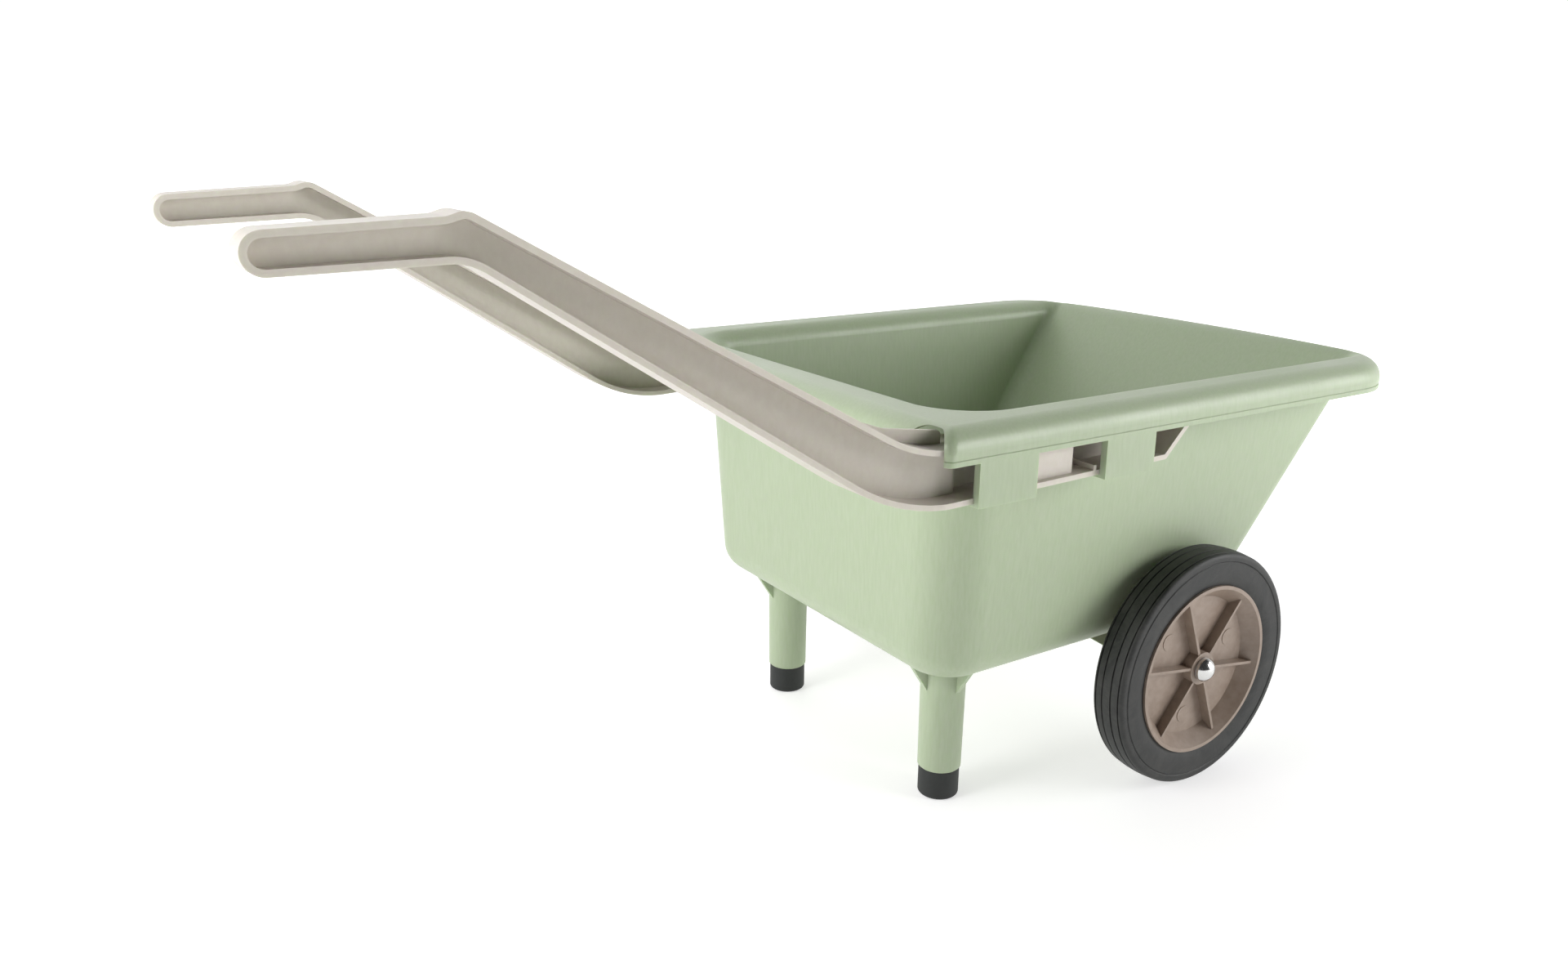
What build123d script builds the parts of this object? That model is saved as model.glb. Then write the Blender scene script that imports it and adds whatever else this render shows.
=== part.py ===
from build123d import *
import os
from math import atan2, cos, radians, sin

# Two-wheeled moulded garden barrow.  Millimetres, +X towards the nose, +Y to the left,
# +Z up, origin on the ground under the middle of the whole barrow.
# Every piece that has a left and a right copy is made by a function of side: +1 left, -1 right.

# ---------------------------------------------------------------- tub
wheel_radius = 85.0
axle_drop = 18.0           # from the underside of the tub down to the middle of the axle
tub_depth = 165.7          # from the underside of the floor up to the rim's lip
rim_depth = 20.0           # from the rim's lip up to its top
wall = 2.8                 # moulded wall thickness
bottom_rear = -14.6        # outside of the rear wall at the floor
bottom_length = 266.0      # outside lengths and half width at the floor
bottom_half = 143.1
rear_draft = 5.6           # how far each wall leans out between floor and lip
nose_draft = 108.4
side_draft = 12.3
corner_rear = 35.0         # upright corner radii
corner_front_low = 28.0    # the front corners tighten from the floor to the lip
corner_front_high = 12.0
floor_round = 22.0         # rounding between floor and walls

rear_overhang = 36.5       # how far the rim stands out beyond the walls at the lip
side_overhang = 36.1
nose_overhang = 13.6
nose_bow = 14.8            # how far the bowed front edge stands out in the middle
rim_corner_front = 58.0
rim_corner_rear = 5.0
rim_round = 13.0           # rounding along the outer top edge
mouth_round = 14.0         # rounding along the inner top edge
mouth_overrun = 1.0        # how far cutting solids reach past the face that they cut
lip_line_height = 3.0      # fine groove that sets off the bead along the lip
lip_line_width = 0.8
lip_line_depth = 0.5

bottom_z = wheel_radius + axle_drop
lip_z = bottom_z + tub_depth
crest_z = lip_z + rim_depth
bottom_front = bottom_rear + bottom_length
lip_rear = bottom_rear - rear_draft
lip_front = bottom_front + nose_draft
lip_half = bottom_half + side_draft
front_slope = atan2(nose_draft, tub_depth)
rim_rear = lip_rear - rear_overhang
rim_half = lip_half + side_overhang
rim_side_front = lip_front + nose_overhang
rim_nose = rim_side_front + nose_bow

# ---------------------------------------------------------------- legs
leg_set_in = 46.5          # from the tub's side at the floor
leg_set_forward = 45.3     # from the rear wall at the floor
leg_top_radius = 15.6
leg_foot_radius = 15.0
leg_bore_radius = 10.6
leg_foot_chamfer = 1.0
gusset_reach = 14.0        # how far a gusset stands out from the leg at the floor
gusset_height = 27.0
gusset_thickness = 3.4

foot_step = 0.9            # how much slimmer the foot is than the leg
foot_height = 21.0
foot_round = 2.2
foot_plug_height = 14.0
foot_plug_clearance = 0.1
foot_plug_wall = 3.5

leg_x = bottom_rear + leg_set_forward
leg_y = bottom_half - leg_set_in
foot_radius = leg_foot_radius - foot_step
foot_plug_radius = leg_bore_radius - foot_plug_clearance

# ---------------------------------------------------------------- wheels and axle
axle_set_back = 55.9       # from the front wall at the floor
axle_radius = 4.0
wheel_run_clearance = 0.08
wheel_gap = 0.7            # between a tyre and the tub where it is widest
tyre_width = 25.7
tyre_depth = 23.8          # from the tread down to the bead
tyre_shoulder = 3.7        # from the tread down to the edge of the side wall
tyre_shoulder_run = 2.6    # how far the shoulder slopes in across the tread
tyre_line_depth = 0.5      # fine line round the edge of the side wall
tread_drop = 0.8           # how far the side ribs fall below the middle one
tread_groove_edge = 3.2    # from the tyre's face to the outer groove
tread_groove_pitch = 6.0   # from the outer groove to the inner one
tread_groove_width = 1.1
tread_groove_depth = 0.8
tyre_key_height = 2.3
tyre_key_width = 8.0
tyre_fit = 0.05

hub_band = 2.1             # wall under the tyre
hub_lip = 2.6              # flat edge of the rim at the outer face
hub_disc_depth = 10.5      # from the outer face to the disc
hub_disc_thickness = 3.0
hub_cone_run = 10.7        # from the bead in to where the conical wall meets the disc
hub_cone_wall = 3.2        # depth of the cone's wall along the axle
hub_rib_count = 6
hub_rib_angle = -9.0
hub_rib_thickness = 2.0
hub_rib_set_back = 3.2
hub_root = 1.0             # how far ribs and marks run into the walls they grow from
hub_boss_wall = 7.8        # from the axle out to the face of the boss
hub_boss_set_back = 3.0
hub_sleeve_wall = 5.0
hub_mark_radius = 6.0      # ejector marks in every other bay
hub_mark_height = 0.4
hub_mark_set_in = 13.5     # from the foot of the cone

bracket_set_in = 22.1      # from the tub's side at the floor
bracket_thickness = 6.0
bracket_eye_wall = 12.0
bracket_reach_rear = 58.5  # along the floor from the axle
bracket_reach_front = 44.5
bracket_rib_reach = 14.0

washer_thickness = 1.2
washer_band = 4.3          # width of a washer's ring
side_play = 0.4            # end float of a wheel between its washers
cap_band = 4.5             # from the axle out to the skirt of its cap
cap_height = 6.6
cap_skirt = 1.6            # straight part of the cap below the dome
cap_wall = 0.8
axle_end_margin = 1.6      # from the end of the axle to the inside of the dome

axle_x = bottom_front - axle_set_back
axle_z = wheel_radius
tyre_face_y = lip_half + wheel_gap + tyre_width
tyre_bead_radius = wheel_radius - tyre_depth
tyre_shoulder_radius = wheel_radius - tyre_shoulder
tread_grooves = (tyre_width / 2 - tread_groove_edge - tread_groove_pitch,
                 tyre_width / 2 - tread_groove_edge)
hub_cone_foot = tyre_bead_radius - hub_cone_run
hub_mark_place = hub_cone_foot - hub_mark_set_in
hub_boss_radius = axle_radius + hub_boss_wall
hub_sleeve_radius = axle_radius + hub_sleeve_wall
bracket_eye_radius = axle_radius + bracket_eye_wall
bracket_outer_y = bottom_half - bracket_set_in
bracket_rear = axle_x - bracket_reach_rear
bracket_front = axle_x + bracket_reach_front
washer_radius = axle_radius + washer_band
cap_radius = axle_radius + cap_band
boss_outer_y = tyre_face_y - hub_boss_set_back
sleeve_inner_y = bracket_outer_y + washer_thickness + side_play
cap_inner_y = boss_outer_y + side_play + washer_thickness
axle_half_length = cap_inner_y + cap_height - cap_wall - axle_end_margin

# ---------------------------------------------------------------- straps and arches
strap_starts = (23.5, 123.0)   # from the rear edge of the rim
strap_ends = (67.3, 165.0)
strap_set_in = 0.7         # a strap's outer face, in from the lip's
strap_depth = 5.4          # from the lip's outer face in to the strap's inner face
strap_floor = 2.0
strap_overlap = 4.0        # how far a strap runs up inside the lip
arch_cheek = 4.4           # what is left of the rim outside and above an arch
arch_crown = 1.4
arch_undercut = 3.4        # how far an arch reaches in past the tub's side
arch_round_outer = 12.0
arch_round_inner = 16.0
arch_depth = 12.5

strap_spans = [(rim_rear + start, rim_rear + end) for start, end in zip(strap_starts, strap_ends)]
strap_outer_y = rim_half - strap_set_in
strap_inner_y = rim_half - strap_depth
arch_inner_y = lip_half - arch_undercut
arch_outer_y = rim_half - arch_cheek
arch_top = crest_z - arch_crown

# ---------------------------------------------------------------- handles
flange = 3.2               # thickness of the flange round a handle
web = 2.2                  # thickness of its web
handle_reach = 331.5       # from the rear edge of the rim to the tip
tip_rise = 124.9           # middle of the tip above the lip
tip_radius = 9.4
tip_outer_y = 150.5        # edges of the flange at the tip
tip_inner_y = 129.5
tip_web_y = 140.0          # middle of the web at the tip
grip_radius = 25.0
knee_low_radius = 110.0
knee_high_radius = 80.0
hump_radius = 10.0
hump_start_radius = 6.0
end_radius = 3.0

entry_outer_clearance = 0.5    # to the cheeks of the arch
entry_inner_clearance = 2.0
strap_clearance = 0.4
side_clearance = 1.4       # to the tub's side
entry_set_in = 3.5         # from the rear edge of the rim to where the handle is widest
channel_set_in = 36.7      # from here on the handle runs straight along the tub
jog_set_in = 19.7
jog_run = 8.0              # length of each jog
jog_radius = 3.5
jog_web_inset = 14.6       # middle of the web from the outer edge, before the first jog
recess_web_inset = 5.8     # from the inner edge, beside the pad
pad_web_inset = 5.3        # from the outer edge, on the raised pad between the straps
pad_starts = 56.7
pad_ends = 112.7
brace_set_in = 119.5       # cross rib on the lower flange
brace_thickness = 2.2
brace_height = 3.2
fin_root = 10.0            # the fin guides the handle through the arch
fin_radius = 3.0

tip_x = rim_rear - handle_reach
tip_z = lip_z + tip_rise
# corners of the side outline before rounding: the lower edge from the grip to the front end,
# then the upper edge back
grip_bend = (tip_x + 87.8, lip_z + 118.2)
knee_low = (rim_rear - 25.3, lip_z - 25.4)
end_low = (rim_rear + 182.5, lip_z - 21.2)
end_high = (rim_rear + 212.3, lip_z + 8.9)
knee_high = (rim_rear - 14.2, lip_z + 8.9)
hump = (tip_x + 88.2, lip_z + 140.55)
hump_start = (tip_x + 79.7, lip_z + 137.7)
fin_rear = (rim_rear - 49.3, lip_z + 29.0)
fin_crest = (rim_rear - 27.3, lip_z + 21.1)
fin_front = (rim_rear + 9.7, lip_z + 16.3)

entry_x = rim_rear + entry_set_in
channel_x = rim_rear + channel_set_in
jog_rear = rim_rear + jog_set_in
pad_rear = rim_rear + pad_starts
pad_front = rim_rear + pad_ends
brace_x = rim_rear + brace_set_in
entry_outer_y = arch_outer_y - entry_outer_clearance
entry_inner_y = arch_inner_y + entry_inner_clearance
channel_outer_y = strap_inner_y - strap_clearance
channel_inner_y = lip_half + side_clearance
jog_web_y = entry_outer_y - jog_web_inset
recess_web_y = channel_inner_y + recess_web_inset
pad_web_y = channel_outer_y - pad_web_inset


# Sections of the tub at any height, set in from the outside by a constant thickness.
def tub_section(z, inset):
    rise = (z - bottom_z) / (lip_z - bottom_z)
    rear = bottom_rear + (lip_rear - bottom_rear) * rise + inset
    front = bottom_front + (lip_front - bottom_front) * rise - inset / cos(front_slope)
    half = bottom_half + (lip_half - bottom_half) * rise - inset
    with BuildSketch(Plane.XY.offset(z)) as section:
        with Locations(((rear + front) / 2, 0)):
            Rectangle(front - rear, 2 * half)
        fillet(section.vertices().group_by(Axis.X)[0], corner_rear - inset)
        corner_front = corner_front_low + (corner_front_high - corner_front_low) * rise
        fillet(section.vertices().group_by(Axis.X)[-1], corner_front - inset)
    return section.sketch


def tub_solid(z_low, z_high, inset):
    sections = [tub_section(z_low, inset), tub_section(z_high, inset)]
    with BuildPart() as solid:
        loft(sections=sections, ruled=True)
    return solid.part


# The plan outline of the rim, with its gently bowed front edge.
def rim_outline(z, inset):
    with BuildSketch(Plane.XY.offset(z)) as outline:
        with BuildLine():
            Polyline((rim_side_front, rim_half), (rim_rear, rim_half),
                     (rim_rear, -rim_half), (rim_side_front, -rim_half))
            ThreePointArc((rim_side_front, -rim_half), (rim_nose, 0), (rim_side_front, rim_half))
        make_face()
        fillet(outline.vertices().group_by(Axis.X)[0], rim_corner_rear)
        fillet(outline.vertices().group_by(Axis.X)[-1], rim_corner_front)
        if inset:
            offset(amount=-inset)
    return outline.sketch


def rim_block(z_low, inset):
    outline = rim_outline(z_low, inset)
    with BuildPart() as block:
        extrude(outline, amount=crest_z - inset - z_low)
        fillet(block.faces().sort_by(Axis.Z)[-1].edges(), rim_round - inset)
    return block.part


# A slab with the tub's shape cut out of it, rounded over along the upper edge of the hole.
def mouth_slab(z_low, z_high, inset, rounding):
    length = rim_nose - rim_rear + 4 * rim_corner_front
    hole = tub_solid(z_low - mouth_overrun, z_high + mouth_overrun, inset)
    with BuildPart() as slab:
        with BuildSketch(Plane.XY.offset(z_low)):
            with Locations(((rim_nose + rim_rear) / 2, 0)):
                Rectangle(length, 2 * rim_half + 4 * rim_corner_front)
        extrude(amount=z_high - z_low)
        add(hole, mode=Mode.SUBTRACT)
        top_face = slab.faces().sort_by(Axis.Z)[-1]
        fillet(top_face.inner_wires()[0].edges(), rounding)
    return slab.part


def rim_ring(z_low, inset, hole_inset, rounding):
    block = rim_block(z_low, inset)
    slab = mouth_slab(z_low - wall, crest_z - inset, hole_inset, rounding)
    with BuildPart() as ring:
        add(block)
        add(slab, mode=Mode.INTERSECT)
    return ring.part


# The fine groove that runs round the outside just above the lip.
def lip_line():
    outline = rim_outline(lip_z + lip_line_height, 0)
    inside = rim_outline(lip_z + lip_line_height, lip_line_depth)
    with BuildPart() as line:
        extrude(outline, amount=lip_line_width)
        extrude(inside, amount=lip_line_width, mode=Mode.SUBTRACT)
    return line.part


def rim():
    body = rim_ring(lip_z, 0, wall, mouth_round)
    hollow = rim_ring(lip_z - mouth_overrun, wall, 0, mouth_round - wall)
    line = lip_line()
    with BuildPart() as lipped:
        add(body)
        add(hollow, mode=Mode.SUBTRACT)
        add(line, mode=Mode.SUBTRACT)
    return lipped.part


def handle_underside(x):
    slope = (end_low[1] - knee_low[1]) / (end_low[0] - knee_low[0])
    return knee_low[1] + slope * (x - knee_low[0])


# A strap hangs from the lip and turns in under the handle to meet the tub's side.
def strap(side, span):
    rear, front = span
    floor_top = handle_underside(rear)
    floor_low = floor_top - strap_floor
    with BuildPart() as loop:
        with BuildSketch(Plane.YZ.offset(rear)):
            with BuildLine():
                Polyline((side * strap_outer_y, lip_z + strap_overlap),
                         (side * strap_outer_y, floor_low),
                         (side * (bottom_half - floor_round), floor_low),
                         (side * (bottom_half - floor_round), floor_top),
                         (side * strap_inner_y, floor_top),
                         (side * strap_inner_y, lip_z + strap_overlap),
                         close=True)
            make_face()
        extrude(amount=front - rear)
    return loop.part


def leg(side):
    with BuildPart() as post:
        with Locations((leg_x, side * leg_y, foot_height)):
            Cone(leg_foot_radius, leg_top_radius, bottom_z + wall / 2 - foot_height,
                 align=(Align.CENTER, Align.CENTER, Align.MIN))
        chamfer(post.edges().group_by(Axis.Z)[0], leg_foot_chamfer)
        for turn in (0, 90):
            along = (cos(radians(turn)), sin(radians(turn)), 0)
            plane = Plane((leg_x, side * leg_y, bottom_z), x_dir=along, z_dir=(along[1], -along[0], 0))
            with BuildSketch(plane):
                with BuildLine():
                    reach = leg_top_radius + gusset_reach
                    Polyline((-reach, wall / 2), (reach, wall / 2), (reach, 0),
                             (leg_top_radius - gusset_thickness, -gusset_height),
                             (gusset_thickness - leg_top_radius, -gusset_height),
                             (-reach, 0), close=True)
                make_face()
            extrude(amount=gusset_thickness / 2, both=True)
        with Locations((leg_x, side * leg_y, foot_height)):
            Cylinder(leg_bore_radius, bottom_z - foot_height - wall,
                     align=(Align.CENTER, Align.CENTER, Align.MIN), mode=Mode.SUBTRACT)
    return post.part


def axle_bracket(side):
    with BuildPart() as bracket:
        with BuildSketch(Plane.XZ.offset(-side * bracket_outer_y)) as web:
            with Locations((axle_x, axle_z)):
                Circle(bracket_eye_radius)
            with BuildLine():
                Polyline((bracket_rear, bottom_z + wall / 2), (bracket_front, bottom_z + wall / 2),
                         (bracket_front, bottom_z), (bracket_rear, bottom_z), close=True)
            make_face()
            make_hull()
        extrude(amount=side * bracket_thickness)
        for x in (bracket_rear + bracket_rib_reach, bracket_front - bracket_rib_reach):
            with BuildSketch(Plane.YZ.offset(x)):
                with BuildLine():
                    inner = side * (bracket_outer_y - bracket_thickness)
                    Polyline((inner, bottom_z + wall / 2),
                             (inner - side * bracket_rib_reach, bottom_z + wall / 2),
                             (inner - side * bracket_rib_reach, bottom_z),
                             (inner, bottom_z - bracket_rib_reach / 2), close=True)
                make_face()
            extrude(amount=wall / 2, both=True)
        with BuildSketch(Plane.XZ.offset(-side * (bracket_outer_y + mouth_overrun))):
            with Locations((axle_x, axle_z)):
                Circle(axle_radius)
        extrude(amount=side * (bracket_thickness + 2 * mouth_overrun), mode=Mode.SUBTRACT)
    return bracket.part


# The arch in the rear lip through which a handle slides in.
def handle_arch(side):
    sill = lip_z - mouth_overrun
    with BuildPart() as arch:
        with BuildSketch(Plane.YZ.offset(rim_rear - mouth_overrun)):
            with BuildLine():
                FilletPolyline((side * arch_inner_y, sill), (side * arch_inner_y, arch_top),
                               (side * arch_outer_y, arch_top), (side * arch_outer_y, sill),
                               radius=(arch_round_inner, arch_round_outer))
                Line((side * arch_outer_y, sill), (side * arch_inner_y, sill))
            make_face()
        extrude(amount=arch_depth + mouth_overrun)
    return arch.part


# Everything below the lip is joined, the load space is cut out of it, and the rim goes on last.
def tub_skin(z_low, inset, rounding):
    body = tub_solid(z_low, lip_z, inset)
    with BuildPart() as skin:
        add(body)
        fillet(skin.faces().sort_by(Axis.Z)[0].edges(), rounding)
    return skin.part


tub_outside = tub_skin(bottom_z, 0, floor_round)
load_space = tub_skin(bottom_z + wall, wall, floor_round - wall)
rolled_rim = rim()
moulded_on = [strap(side, span) for side in (-1, 1) for span in strap_spans]
moulded_on += [leg(side) for side in (-1, 1)]
moulded_on += [axle_bracket(side) for side in (-1, 1)]
arches = [handle_arch(side) for side in (-1, 1)]

with BuildPart() as tub:
    add(tub_outside)
    add(moulded_on)
    add(load_space, mode=Mode.SUBTRACT)
    add(rolled_rim)
    add(arches, mode=Mode.SUBTRACT)
tub.part.label = "tub"


def foot_cap(side):
    with BuildPart() as foot:
        with Locations((leg_x, side * leg_y, 0)):
            Cylinder(foot_radius, foot_height, align=(Align.CENTER, Align.CENTER, Align.MIN))
        fillet(foot.edges().group_by(Axis.Z)[0], foot_round)
        with Locations((leg_x, side * leg_y, foot_height)):
            Cylinder(foot_plug_radius, foot_plug_height,
                     align=(Align.CENTER, Align.CENTER, Align.MIN))
            Cylinder(foot_plug_radius - foot_plug_wall, foot_plug_height,
                     align=(Align.CENTER, Align.CENTER, Align.MIN), mode=Mode.SUBTRACT)
    return foot.part


# Turned pieces are drawn in the plane through the axle: first value along the axle from the
# middle of the barrow, second value out from the axle's centre.
def axle_plane(side):
    return Plane(origin=(axle_x, 0, axle_z), x_dir=(0, side, 0), z_dir=(side, 0, 0))


def turned(side, outline):
    with BuildPart() as piece:
        with BuildSketch(axle_plane(side)):
            with BuildLine():
                Polyline(*outline, close=True)
            make_face()
        revolve(axis=Axis((axle_x, 0, axle_z), (0, 1, 0)))
    return piece.part


def tyre(side):
    outer = tyre_face_y
    inner = tyre_face_y - tyre_width
    middle = (outer + inner) / 2
    key_radius = tyre_bead_radius + tyre_key_height + tyre_fit
    key_half = tyre_key_width / 2 + tyre_fit
    half_groove = tread_groove_width / 2
    base = wheel_radius - tread_drop - tread_groove_depth
    shoulder_mid = (tyre_shoulder_radius + base) / 2 + tyre_line_depth

    def crown(across):
        return wheel_radius - tread_drop * (across / tread_grooves[1]) ** 2

    outline = [(outer, tyre_bead_radius), (outer, tyre_shoulder_radius - 2 * tyre_line_depth),
               (outer - tyre_line_depth, tyre_shoulder_radius - tyre_line_depth),
               (outer - tyre_line_depth / 2, tyre_shoulder_radius),
               (outer - tyre_shoulder_run / 3, shoulder_mid), (outer - tyre_shoulder_run, base)]
    places = (tread_grooves[1], tread_grooves[0], -tread_grooves[0], -tread_grooves[1])
    for start, end in zip(places, places[1:]):
        start -= half_groove
        end += half_groove
        outline.append((middle + start, base))
        outline += [(middle + across, crown(across)) for across in (start, (start + end) / 2, end)]
        outline.append((middle + end, base))
    outline += [(inner + tyre_shoulder_run, base), (inner + tyre_shoulder_run / 3, shoulder_mid),
                (inner + tyre_line_depth / 2, tyre_shoulder_radius),
                (inner + tyre_line_depth, tyre_shoulder_radius - tyre_line_depth),
                (inner, tyre_shoulder_radius - 2 * tyre_line_depth), (inner, tyre_bead_radius),
                (middle - key_half, tyre_bead_radius), (middle - key_half, key_radius),
                (middle + key_half, key_radius), (middle + key_half, tyre_bead_radius)]
    return turned(side, outline)


def wheel_hub(side):
    outer = tyre_face_y
    inner = tyre_face_y - tyre_width
    middle = (outer + inner) / 2
    rim_radius = tyre_bead_radius - tyre_fit
    band_radius = rim_radius - hub_band
    key_radius = tyre_bead_radius + tyre_key_height
    bore = axle_radius + wheel_run_clearance
    disc_face = outer - hub_disc_depth
    disc_back = disc_face - hub_disc_thickness
    cone_mouth = rim_radius - hub_lip
    cone_pitch = (cone_mouth - hub_cone_foot) / hub_disc_depth
    back_start = outer - hub_cone_wall - (cone_mouth - band_radius) / cone_pitch
    back_foot = hub_cone_foot - cone_pitch * (hub_disc_thickness - hub_cone_wall)
    body = turned(side, [
        (outer, rim_radius), (outer, cone_mouth), (disc_face, hub_cone_foot),
        (disc_face, hub_boss_radius), (boss_outer_y, hub_boss_radius), (boss_outer_y, bore),
        (sleeve_inner_y, bore), (sleeve_inner_y, hub_sleeve_radius), (disc_back, hub_sleeve_radius),
        (disc_back, back_foot), (back_start, band_radius), (inner, band_radius), (inner, rim_radius),
        (middle - tyre_key_width / 2, rim_radius), (middle - tyre_key_width / 2, key_radius),
        (middle + tyre_key_width / 2, key_radius), (middle + tyre_key_width / 2, rim_radius)])
    rib_top = outer - hub_rib_set_back
    rib_end = cone_mouth - cone_pitch * hub_rib_set_back + hub_root
    with BuildPart() as hub:
        add(body)
        for count in range(hub_rib_count):
            turn = radians(hub_rib_angle + 360 * count / hub_rib_count)
            away = (cos(turn), 0, sin(turn))
            plane = Plane(origin=(axle_x, 0, axle_z), x_dir=(0, side, 0),
                          z_dir=(side * sin(turn), 0, -side * cos(turn)))
            across = 1 if plane.y_dir.dot(Vector(*away)) > 0 else -1
            with BuildSketch(plane):
                with BuildLine():
                    Polyline((disc_face - hub_root, across * (hub_boss_radius - hub_root)),
                             (boss_outer_y - hub_root / 2, across * (hub_boss_radius - hub_root)),
                             (rib_top, across * (hub_boss_radius + hub_root)),
                             (rib_top, across * rib_end),
                             (disc_face - hub_root, across * (hub_cone_foot + hub_root / 2)),
                             close=True)
                make_face()
            extrude(amount=hub_rib_thickness / 2, both=True)
        marks = [radians(hub_rib_angle + 360 * (count + 0.5) / hub_rib_count)
                 for count in range(0, hub_rib_count, 2)]
        with BuildSketch(Plane(origin=(axle_x, side * (disc_face - hub_root), axle_z),
                               x_dir=(1, 0, 0), z_dir=(0, side, 0))):
            with Locations(*[(hub_mark_place * cos(turn), -side * hub_mark_place * sin(turn))
                             for turn in marks]):
                Circle(hub_mark_radius)
        extrude(amount=hub_root + hub_mark_height)
    return hub.part


def washer(side, inner_y):
    return turned(side, [(inner_y, axle_radius), (inner_y, washer_radius),
                         (inner_y + washer_thickness, washer_radius),
                         (inner_y + washer_thickness, axle_radius)])


# A push-on cap: a toothless spring plate that grips the axle, closed by a domed cover.
def axle_cap(side):
    skirt = cap_inner_y + cap_skirt
    crown = cap_inner_y + cap_height
    with BuildPart() as cap:
        with BuildSketch(axle_plane(side)):
            with BuildLine():
                Polyline((skirt, cap_radius), (cap_inner_y, cap_radius), (cap_inner_y, axle_radius),
                         (cap_inner_y + cap_wall, axle_radius),
                         (cap_inner_y + cap_wall, cap_radius - cap_wall),
                         (skirt, cap_radius - cap_wall))
                TangentArc((crown - cap_wall, 0), (skirt, cap_radius - cap_wall), tangent=(0, 1))
                Line((crown - cap_wall, 0), (crown, 0))
                TangentArc((crown, 0), (skirt, cap_radius), tangent=(0, 1))
            make_face()
        revolve(axis=Axis((axle_x, 0, axle_z), (0, 1, 0)))
    return cap.part


# The side outline of a handle, and the strip that its web follows in plan.
def handle_outline():
    with BuildSketch(Plane.XZ) as outline:
        with BuildLine():
            FilletPolyline((tip_x + tip_radius, tip_z - tip_radius), grip_bend, knee_low, end_low,
                           end_high, knee_high, hump, hump_start,
                           (tip_x + tip_radius, tip_z + tip_radius),
                           radius=(grip_radius, knee_low_radius, end_radius, end_radius,
                                   knee_high_radius, hump_radius, hump_start_radius))
            ThreePointArc((tip_x + tip_radius, tip_z + tip_radius), (tip_x, tip_z),
                          (tip_x + tip_radius, tip_z - tip_radius))
        make_face()
    return outline.sketch


def handle_fin():
    with BuildSketch(Plane.XZ) as fin:
        with BuildLine():
            FilletPolyline(fin_rear, fin_crest, fin_front, (fin_front[0], end_high[1] - flange),
                           (fin_rear[0], fin_rear[1] - fin_root), close=True,
                           radius=(0, fin_root, fin_radius, 0, 0))
        make_face()
    return fin.sketch


def handle_plan(side):
    with BuildSketch() as plan:
        with BuildLine():
            Polyline((tip_x - mouth_overrun, side * tip_inner_y), (entry_x, side * entry_inner_y),
                     (channel_x, side * channel_inner_y), (end_high[0], side * channel_inner_y),
                     (end_high[0], side * channel_outer_y), (strap_spans[0][0], side * channel_outer_y),
                     (strap_spans[0][0], side * entry_outer_y), (entry_x, side * entry_outer_y),
                     (tip_x - mouth_overrun, side * tip_outer_y), close=True)
        make_face()
    return plan.sketch


def web_plan(side):
    with BuildSketch() as plan:
        with BuildLine() as route:
            FilletPolyline((tip_x - mouth_overrun, side * tip_web_y), (jog_rear, side * jog_web_y),
                           (jog_rear + jog_run, side * recess_web_y), (pad_rear, side * recess_web_y),
                           (pad_rear + jog_run, side * pad_web_y), (pad_front - jog_run, side * pad_web_y),
                           (pad_front, side * recess_web_y), (end_high[0], side * recess_web_y),
                           radius=jog_radius)
        trace(route.edges(), line_width=web)
    return plan.sketch


def handle(side):
    outline = handle_outline()
    fin = handle_fin()
    plan = handle_plan(side)
    strip = web_plan(side)
    with BuildPart() as ring:
        extrude(outline, amount=rim_half, both=True)
        extrude(offset(outline, amount=-flange), amount=rim_half, both=True, mode=Mode.SUBTRACT)
        extrude(plan, amount=2 * tip_z, mode=Mode.INTERSECT)
    with BuildPart() as middle:
        extrude(outline, amount=rim_half, both=True)
        extrude(fin, amount=rim_half, both=True)
        extrude(strip, amount=2 * tip_z, mode=Mode.INTERSECT)
    with BuildPart() as piece:
        add(ring.part)
        add(middle.part)
        with Locations((brace_x, side * (recess_web_y + channel_outer_y) / 2,
                        handle_underside(brace_x) + flange / 2)):
            Box(brace_thickness, channel_outer_y - recess_web_y, flange / 2 + brace_height,
                align=(Align.CENTER, Align.CENTER, Align.MIN))
    return piece.part


with BuildPart() as axle:
    with Locations((axle_x, 0, axle_z)):
        Cylinder(axle_radius, 2 * axle_half_length, rotation=(90, 0, 0))
axle.part.label = "axle"

pieces = {"tub": tub.part, "axle": axle.part}
for side, hand in ((-1, "right"), (1, "left")):
    pieces[hand + "_handle"] = handle(side)
    pieces[hand + "_foot_cap"] = foot_cap(side)
    pieces[hand + "_wheel_hub"] = wheel_hub(side)
    pieces[hand + "_tyre"] = tyre(side)
    pieces[hand + "_inner_washer"] = washer(side, bracket_outer_y)
    pieces[hand + "_outer_washer"] = washer(side, boss_outer_y + side_play)
    pieces[hand + "_axle_cap"] = axle_cap(side)

os.makedirs("parts", exist_ok=True)
for name, piece in pieces.items():
    piece.label = name
    export_step(piece, "parts/" + name + ".step")
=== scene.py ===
import bpy
from math import cos, pi, radians, sin
from mathutils import Matrix, Vector


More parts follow.
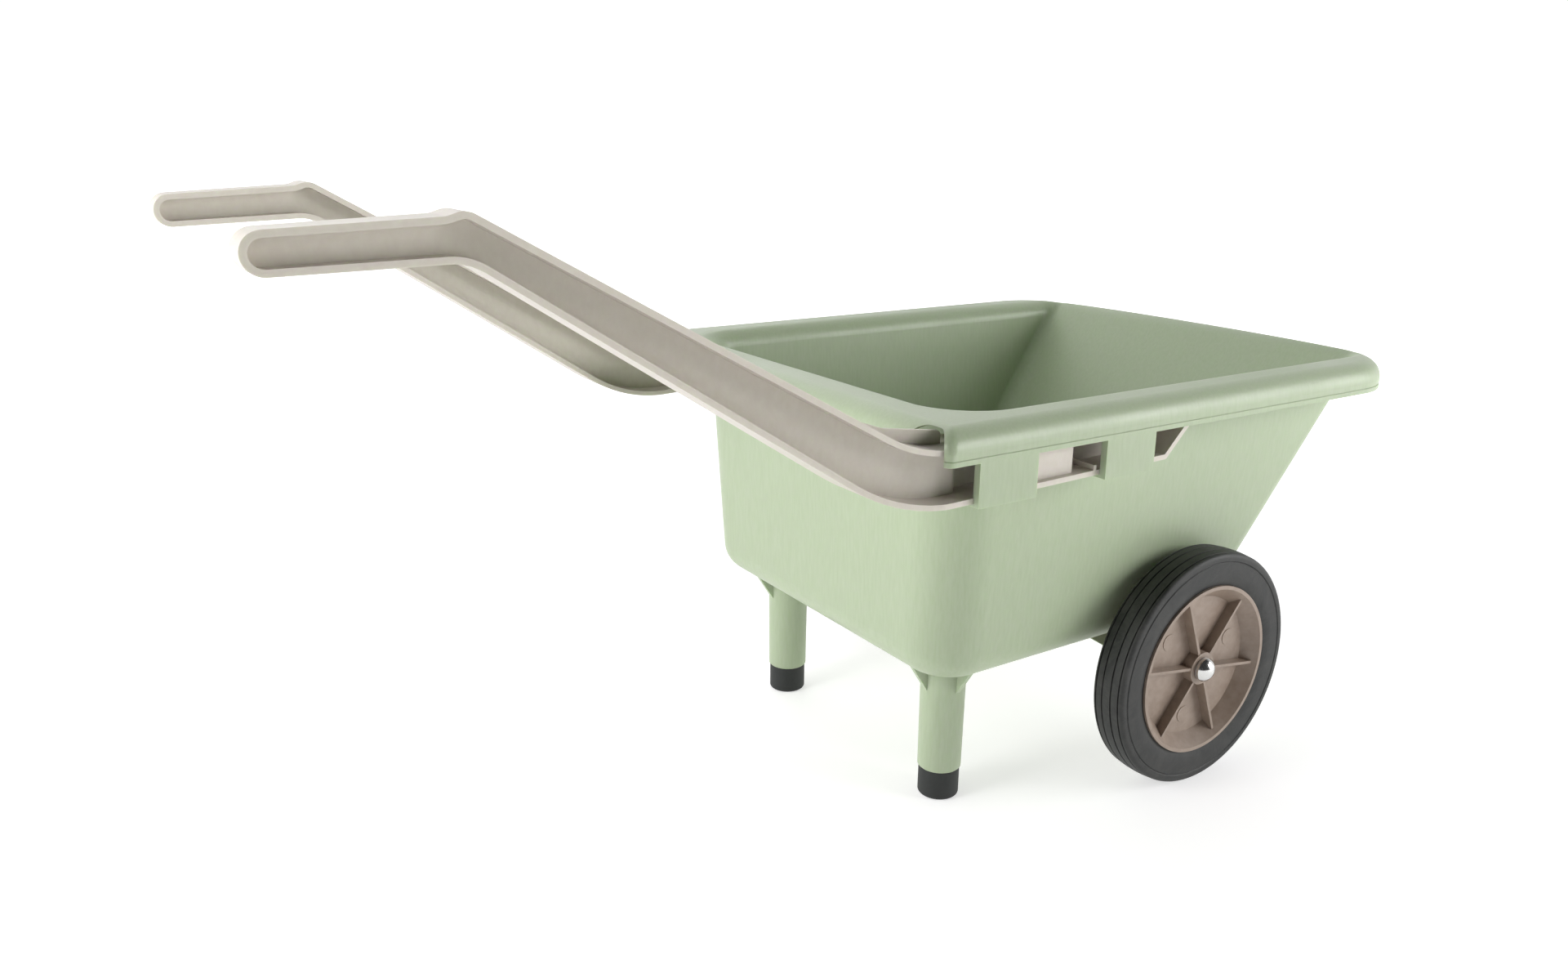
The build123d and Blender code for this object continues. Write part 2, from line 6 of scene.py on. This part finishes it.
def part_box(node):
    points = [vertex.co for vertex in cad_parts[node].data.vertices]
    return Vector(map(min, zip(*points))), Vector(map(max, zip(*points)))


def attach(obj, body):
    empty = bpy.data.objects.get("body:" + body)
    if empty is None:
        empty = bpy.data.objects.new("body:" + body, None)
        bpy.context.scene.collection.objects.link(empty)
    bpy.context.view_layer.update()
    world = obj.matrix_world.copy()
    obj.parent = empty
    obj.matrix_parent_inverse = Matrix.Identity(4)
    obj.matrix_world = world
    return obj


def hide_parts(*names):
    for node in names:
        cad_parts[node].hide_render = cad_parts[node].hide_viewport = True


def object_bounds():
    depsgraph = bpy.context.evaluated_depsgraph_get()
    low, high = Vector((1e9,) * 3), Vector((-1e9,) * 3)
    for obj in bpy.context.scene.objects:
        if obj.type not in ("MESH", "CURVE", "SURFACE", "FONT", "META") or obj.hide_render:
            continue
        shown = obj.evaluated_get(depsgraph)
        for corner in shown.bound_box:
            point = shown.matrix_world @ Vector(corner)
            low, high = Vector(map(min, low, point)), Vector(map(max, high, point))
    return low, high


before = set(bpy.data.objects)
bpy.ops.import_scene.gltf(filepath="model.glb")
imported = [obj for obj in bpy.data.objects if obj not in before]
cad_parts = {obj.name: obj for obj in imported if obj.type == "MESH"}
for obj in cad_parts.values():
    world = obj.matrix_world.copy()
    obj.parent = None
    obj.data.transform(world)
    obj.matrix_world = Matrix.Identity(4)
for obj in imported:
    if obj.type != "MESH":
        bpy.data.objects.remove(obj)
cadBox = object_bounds()
print("frame loaded")

# distances are in metres and angles in degrees, except where a note says otherwise
white = (1.0, 1.0, 1.0, 1.0)
perMetre = 1000   # millimetres


def newMaterial(name):
    material = bpy.data.materials.new(name)
    material.use_nodes = True
    tree = material.node_tree
    return material, tree, tree.nodes["Principled BSDF"]


def noiseAt(tree, cells, detail, roughness=0.5, distortion=0.0):
    place = tree.nodes.new("ShaderNodeTexCoord")
    stretch = tree.nodes.new("ShaderNodeMapping")
    stretch.inputs["Scale"].default_value = cells   # noise cells to the metre along x, y and z
    noise = tree.nodes.new("ShaderNodeTexNoise")
    noise.inputs["Scale"].default_value = 1.0
    noise.inputs["Detail"].default_value = detail
    noise.inputs["Roughness"].default_value = roughness
    noise.inputs["Distortion"].default_value = distortion
    tree.links.new(place.outputs["Object"], stretch.inputs["Vector"])
    tree.links.new(stretch.outputs["Vector"], noise.inputs["Vector"])
    return noise.outputs["Fac"]


# a colour between low and high, following the noise from start to end
def between(tree, factor, low, high, start=0.35, end=0.65):
    ramp = tree.nodes.new("ShaderNodeValToRGB")
    ramp.color_ramp.elements[0].position = start
    ramp.color_ramp.elements[1].position = end
    ramp.color_ramp.elements[0].color = (*low, 1.0)
    ramp.color_ramp.elements[1].color = (*high, 1.0)
    tree.links.new(factor, ramp.inputs["Fac"])
    return ramp.outputs["Color"]


# the same for a plain value
def spread(tree, factor, low, high, start=0.3, end=0.7):
    remap = tree.nodes.new("ShaderNodeMapRange")
    remap.inputs["From Min"].default_value = start
    remap.inputs["From Max"].default_value = end
    remap.inputs["To Min"].default_value = low
    remap.inputs["To Max"].default_value = high
    tree.links.new(factor, remap.inputs["Value"])
    return remap.outputs["Result"]


def addBump(tree, shader, height, strength, distance):
    bump = tree.nodes.new("ShaderNodeBump")
    bump.inputs["Strength"].default_value = strength
    bump.inputs["Distance"].default_value = distance
    tree.links.new(height, bump.inputs["Height"])
    tree.links.new(bump.outputs["Normal"], shader.inputs["Normal"])


# shared by the three moulded plastics
moulding = {"streakDetail": 4.0, "streakRoughness": 0.6, "cloudCells": (14.0, 14.0, 9.0),
            "cloudDetail": 3.0, "grainCells": (900.0, 900.0, 900.0), "grainDetail": 2.0,
            "grainHeight": 0.0002, "glowColour": (1.0, 1.5, 0.7), "glowDepth": 0.0025}


def streakedPlastic(name, look):
    material, tree, shader = newMaterial(name)
    fine, along = look["streakFine"], look["streakLong"]   # the streaks run up and down
    streak = noiseAt(tree, (fine, fine, along), moulding["streakDetail"], moulding["streakRoughness"])
    tree.links.new(between(tree, streak, look["deep"], look["pale"]), shader.inputs["Base Color"])
    cloud = noiseAt(tree, moulding["cloudCells"], moulding["cloudDetail"])
    tree.links.new(spread(tree, cloud, *look["roughness"]), shader.inputs["Roughness"])
    grain = noiseAt(tree, moulding["grainCells"], moulding["grainDetail"])
    addBump(tree, shader, grain, look["grain"], moulding["grainHeight"])
    shader.inputs["Subsurface Weight"].default_value = look["glowThrough"]
    shader.inputs["Subsurface Radius"].default_value = moulding["glowColour"]
    shader.inputs["Subsurface Scale"].default_value = moulding["glowDepth"]
    return material


tubPlastic = {"pale": (0.404, 0.474, 0.330), "deep": (0.376, 0.448, 0.298), "streakFine": 520.0,
              "streakLong": 70.0, "roughness": (0.34, 0.46), "grain": 0.06, "glowThrough": 0.4}
greenTub = streakedPlastic("moulded green tub", tubPlastic)

handlePlastic = {"pale": (0.61, 0.57, 0.51), "deep": (0.585, 0.54, 0.48), "streakFine": 240.0,
                 "streakLong": 160.0, "roughness": (0.36, 0.5), "grain": 0.08, "glowThrough": 0.3}
greigeHandle = streakedPlastic("moulded greige handle", handlePlastic)

hubPlastic = {"pale": (0.325, 0.255, 0.205), "deep": (0.275, 0.212, 0.168), "streakFine": 160.0,
              "streakLong": 160.0, "roughness": (0.34, 0.48), "grain": 0.08, "glowThrough": 0.0}
taupeHub = streakedPlastic("moulded taupe hub", hubPlastic)

# shared by the two rubbers
scuffing = {"detail": 8.0, "roughness": 0.78, "distortion": 0.6, "start": 0.40, "end": 0.70,
            "grainCells": (700.0, 700.0, 700.0), "grainDetail": 3.0, "grainHeight": 0.0003}


def scuffedRubber(name, look):
    material, tree, shader = newMaterial(name)
    cells = (look["scuffSize"],) * 3
    scuff = noiseAt(tree, cells, scuffing["detail"], scuffing["roughness"], scuffing["distortion"])
    colour = between(tree, scuff, look["deep"], look["pale"], scuffing["start"], scuffing["end"])
    tree.links.new(colour, shader.inputs["Base Color"])
    tree.links.new(spread(tree, scuff, *look["roughness"]), shader.inputs["Roughness"])
    grain = noiseAt(tree, scuffing["grainCells"], scuffing["grainDetail"])
    addBump(tree, shader, grain, look["grain"], scuffing["grainHeight"])
    return material


tyreRubber = {"pale": (0.050, 0.050, 0.047), "deep": (0.010, 0.0112, 0.0105), "scuffSize": 34.0,
              "roughness": (0.48, 0.72), "grain": 0.18}
charcoalTyre = scuffedRubber("charcoal tyre", tyreRubber)

footRubber = {"pale": (0.022, 0.025, 0.024), "deep": (0.010, 0.012, 0.011), "scuffSize": 60.0,
              "roughness": (0.5, 0.7), "grain": 0.15}
blackFoot = scuffedRubber("black foot rubber", footRubber)

# shared by the two metals: the last three multiply the metal's own colour and roughness
mottling = {"cells": (60.0, 60.0, 60.0), "detail": 3.0, "darkest": 0.9, "smoothest": 0.7, "roughest": 1.3}


def brightMetal(name, look):
    material, tree, shader = newMaterial(name)
    shader.inputs["Metallic"].default_value = 1.0
    shade = noiseAt(tree, mottling["cells"], mottling["detail"])
    darker = tuple(channel * mottling["darkest"] for channel in look["colour"])
    tree.links.new(between(tree, shade, darker, look["colour"]), shader.inputs["Base Color"])
    smooth, rough = look["roughness"] * mottling["smoothest"], look["roughness"] * mottling["roughest"]
    tree.links.new(spread(tree, shade, smooth, rough), shader.inputs["Roughness"])
    return material


rodSteel = {"colour": (0.56, 0.56, 0.57), "roughness": 0.34}
plainSteel = brightMetal("drawn steel", rodSteel)

capPlating = {"colour": (0.72, 0.72, 0.71), "roughness": 0.14}
platedCap = brightMetal("plated cap", capPlating)

# a node takes the finish with the longest name that its own name ends with
finishes = {"tub": greenTub, "handle": greigeHandle, "wheel_hub": taupeHub, "tyre": charcoalTyre,
            "foot_cap": blackFoot, "axle": plainSteel, "washer": plainSteel, "axle_cap": platedCap}
for name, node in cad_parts.items():
    kind = max((key for key in finishes if name.endswith(key)), key=len)
    node.data.materials.clear()
    node.data.materials.append(finishes[kind])
print("materials on the frame")

# lengths are in millimetres, across from the middle of the tread and outwards from the axle's centre
tyreShape = {"crownDrop": 0.8, "crownSteps": 3, "grooves": (3.65, 9.65), "grooveWidth": 1.1,
             "grooveDepth": 0.85, "grooveSlope": 0.2, "shoulder": 3.4, "shoulderSteps": 7,
             "wallFoot": 61.2, "wallDip": 1.8, "wallSteps": 14, "ringAt": 78.2, "ringWidth": 0.7,
             "ringDepth": 0.6, "keyWidth": 8.1, "keyTop": 63.55, "turns": 216, "sharpAngle": 38.0}


# half of the tyre's section: tread and its grooves, shoulder, side wall with a fine ring, key into the hub
def tyreEdge(half, radius):
    shape = tyreShape
    steps, slope, depth = shape["crownSteps"], shape["grooveSlope"], shape["grooveDepth"]
    line = []
    for groove in shape["grooves"]:
        near, far = groove - shape["grooveWidth"] / 2, groove + shape["grooveWidth"] / 2
        level = radius - shape["crownDrop"] * (groove / shape["grooves"][1]) ** 2
        start = line[-1][0] if line else 0.0
        for step in range(steps + 1):
            place = start + (near - start) * step / steps
            line.append((place, radius - shape["crownDrop"] * (place / shape["grooves"][1]) ** 2))
        line += [(near + slope, level - depth), (far - slope, level - depth), (far, level)]
    top = line[-1][1]
    reach = half - line[-1][0]
    for step in range(1, shape["shoulderSteps"] + 1):
        turn = pi / 2 * step / shape["shoulderSteps"]
        line.append((half - reach + reach * sin(turn), top - shape["shoulder"] * (1 - cos(turn))))
    high = line[-1][1]
    middle = (high + shape["wallFoot"]) / 2
    for step in range(1, shape["wallSteps"] + 1):
        level = high + (shape["wallFoot"] - high) * step / shape["wallSteps"]
        inward = ((level - middle) / (high - middle)) ** 2 if level < middle else 0.0
        line.append((half - shape["wallDip"] * inward, level))
    ring = [(half, shape["ringAt"] + shape["ringWidth"]), (half - shape["ringDepth"], shape["ringAt"]),
            (half, shape["ringAt"] - shape["ringWidth"])]
    line = [spot for spot in line if spot[1] > ring[0][1] or spot[1] < ring[2][1]]
    after = next(index for index, spot in enumerate(line) if spot[1] < ring[2][1])
    line[after:after] = ring
    return line + [(shape["keyWidth"] / 2, shape["wallFoot"]), (shape["keyWidth"] / 2, shape["keyTop"])]


def lathedTyre(name, node, body, side):
    low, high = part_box(node)
    half, radius = (high.y - low.y) / 2 * perMetre, (high.z - low.z) / 2 * perMetre
    edge = tyreEdge(half, radius)
    loop = edge + [(-across, level) for across, level in reversed(edge) if across > 0]
    centre = (Vector(low) + Vector(high)) / 2
    spots, faces = [], []
    turns = tyreShape["turns"]
    for count in range(turns):
        turn = 2 * pi * count / turns
        for across, level in loop:
            spots.append(centre + Vector((level * cos(turn), across * side, level * sin(turn))) / perMetre)
    size = len(loop)
    for count in range(turns):
        here, there = count * size, (count + 1) % turns * size
        for index in range(size):
            onward = (index + 1) % size
            face = (here + index, here + onward, there + onward, there + index)
            faces.append(face if side > 0 else face[::-1])   # faces look outwards on both sides
    mesh = bpy.data.meshes.new(name)
    mesh.from_pydata(spots, [], faces)
    mesh.shade_smooth()
    mesh.set_sharp_from_angle(angle=radians(tyreShape["sharpAngle"]))
    tyre = bpy.data.objects.new(name, mesh)
    bpy.context.scene.collection.objects.link(tyre)
    tyre.data.materials.append(charcoalTyre)
    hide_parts(node)
    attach(tyre, body)


for hand, side in (("right", -1), ("left", 1)):
    lathedTyre(hand + "-ribbed-tyre", hand + "_tyre", hand + "_wheel", side)
print("tyres")

# the glow grows with distance, from glowNear at glowFrom to glowFar at glowTo
paleFloor = {"size": 60.0, "gap": 0.0002, "colour": (0.66, 0.655, 0.66), "roughness": 0.6, "specular": 0.1,
             "glowNear": 0.56, "glowFar": 0.95, "glowFrom": 0.6, "glowTo": 2.0}


def layFloor(look):
    half, height = look["size"] / 2, cadBox[0].z - look["gap"]
    mesh = bpy.data.meshes.new("floor")
    corners = [(-half, -half, height), (half, -half, height), (half, half, height), (-half, half, height)]
    mesh.from_pydata(corners, [], [(0, 1, 2, 3)])
    floor = bpy.data.objects.new("floor", mesh)
    bpy.context.scene.collection.objects.link(floor)
    material, tree, shader = newMaterial("pale floor")
    shader.inputs["Base Color"].default_value = (*look["colour"], 1.0)
    shader.inputs["Roughness"].default_value = look["roughness"]
    shader.inputs["Specular IOR Level"].default_value = look["specular"]
    shader.inputs["Emission Color"].default_value = white
    place = tree.nodes.new("ShaderNodeTexCoord")
    reach = tree.nodes.new("ShaderNodeVectorMath")
    reach.operation = "LENGTH"
    tree.links.new(place.outputs["Object"], reach.inputs[0])
    glow = spread(tree, reach.outputs["Value"], look["glowNear"], look["glowFar"], look["glowFrom"],
                  look["glowTo"])
    tree.links.new(glow, shader.inputs["Emission Strength"])
    floor.data.materials.append(material)


layFloor(paleFloor)
print("floor")

# the sky falls from bright to dim as the cosine of the angle to dimTowards goes from dimFrom to dimFull
studioSky = {"bright": 1.04, "dim": 0.04, "dimTowards": (-0.15, -0.72, 0.67), "dimFrom": 0.0,
             "dimFull": 0.72}


def dimmedSky(look):
    world = bpy.data.worlds.new("studio")
    world.use_nodes = True
    tree = world.node_tree
    background = tree.nodes["Background"]
    direction = tree.nodes.new("ShaderNodeTexCoord")
    facing = tree.nodes.new("ShaderNodeVectorMath")
    facing.operation = "DOT_PRODUCT"
    facing.inputs[1].default_value = Vector(look["dimTowards"]).normalized()
    tree.links.new(direction.outputs["Generated"], facing.inputs[0])
    dimming = tree.nodes.new("ShaderNodeMapRange")
    dimming.interpolation_type = "SMOOTHSTEP"
    dimming.inputs["From Min"].default_value = look["dimFrom"]
    dimming.inputs["From Max"].default_value = look["dimFull"]
    dimming.inputs["To Min"].default_value = look["bright"]
    dimming.inputs["To Max"].default_value = look["dim"]
    tree.links.new(facing.outputs["Value"], dimming.inputs["Value"])
    seen = tree.nodes.new("ShaderNodeLightPath")   # the backdrop itself stays white all round
    choice = tree.nodes.new("ShaderNodeMix")
    tree.links.new(seen.outputs["Is Camera Ray"], choice.inputs["Factor"])
    tree.links.new(dimming.outputs["Result"], choice.inputs["A"])
    choice.inputs["B"].default_value = look["bright"]
    tree.links.new(choice.outputs["Result"], background.inputs["Strength"])
    background.inputs["Color"].default_value = white
    bpy.context.scene.world = world


dimmedSky(studioSky)
bpy.context.scene.view_settings.view_transform = "Standard"
print("sky")

# each lamp: where it stands, what it aims at, its width, its height and its power in watts
lamps = {"leftBox": ((-1.8, 0.45, 0.75), (0.0, 0.0, 0.2), 1.2, 1.0, 11.0),
         "rightBox": ((1.45, -1.40, 0.72), (0.2, -0.15, 0.25), 1.2, 0.95, 27.0),
         "gripKicker": ((-0.95, 0.0, 0.72), (-0.3, 0.15, 0.35), 0.35, 0.35, 4.0),
         "backBox": ((0.6, 2.2, 1.6), (0.1, 0.0, 0.25), 2.0, 1.2, 8.0)}


def softLamp(name, place, target, width, height, power):
    data = bpy.data.lights.new(name, "AREA")
    data.shape = "RECTANGLE"
    data.size = width
    data.size_y = height
    data.energy = power
    lamp = bpy.data.objects.new(name, data)
    lamp.location = place
    lamp.rotation_euler = (Vector(target) - Vector(place)).to_track_quat("-Z", "Y").to_euler()
    bpy.context.scene.collection.objects.link(lamp)


for lampName, settings in lamps.items():
    softLamp(lampName, *settings)
print("lamps")

# lens and sensor are in millimetres; a heading of 0 looks along y, and it turns towards x
lookFrom = {"place": (-0.4648, -0.6585, 0.4422), "heading": 33.0, "down": 16.26, "roll": 0.58,
            "lens": 27.417, "sensor": 36.0}


def standCamera(look):
    heading, down, roll = (radians(look[key]) for key in ("heading", "down", "roll"))
    ahead = Vector((sin(heading) * cos(down), cos(heading) * cos(down), -sin(down)))
    across = ahead.cross(Vector((0, 0, 1))).normalized()
    upward = across.cross(ahead)
    sideways = across * cos(roll) + upward * sin(roll)
    upright = upward * cos(roll) - across * sin(roll)
    data = bpy.data.cameras.new("camera")
    data.lens = look["lens"]
    data.sensor_width = look["sensor"]
    camera = bpy.data.objects.new("camera", data)
    turn = Matrix((sideways, upright, -ahead)).transposed()
    camera.matrix_world = Matrix.Translation(look["place"]) @ turn.to_4x4()
    bpy.context.scene.collection.objects.link(camera)
    bpy.context.scene.camera = camera


standCamera(lookFrom)
print("camera")
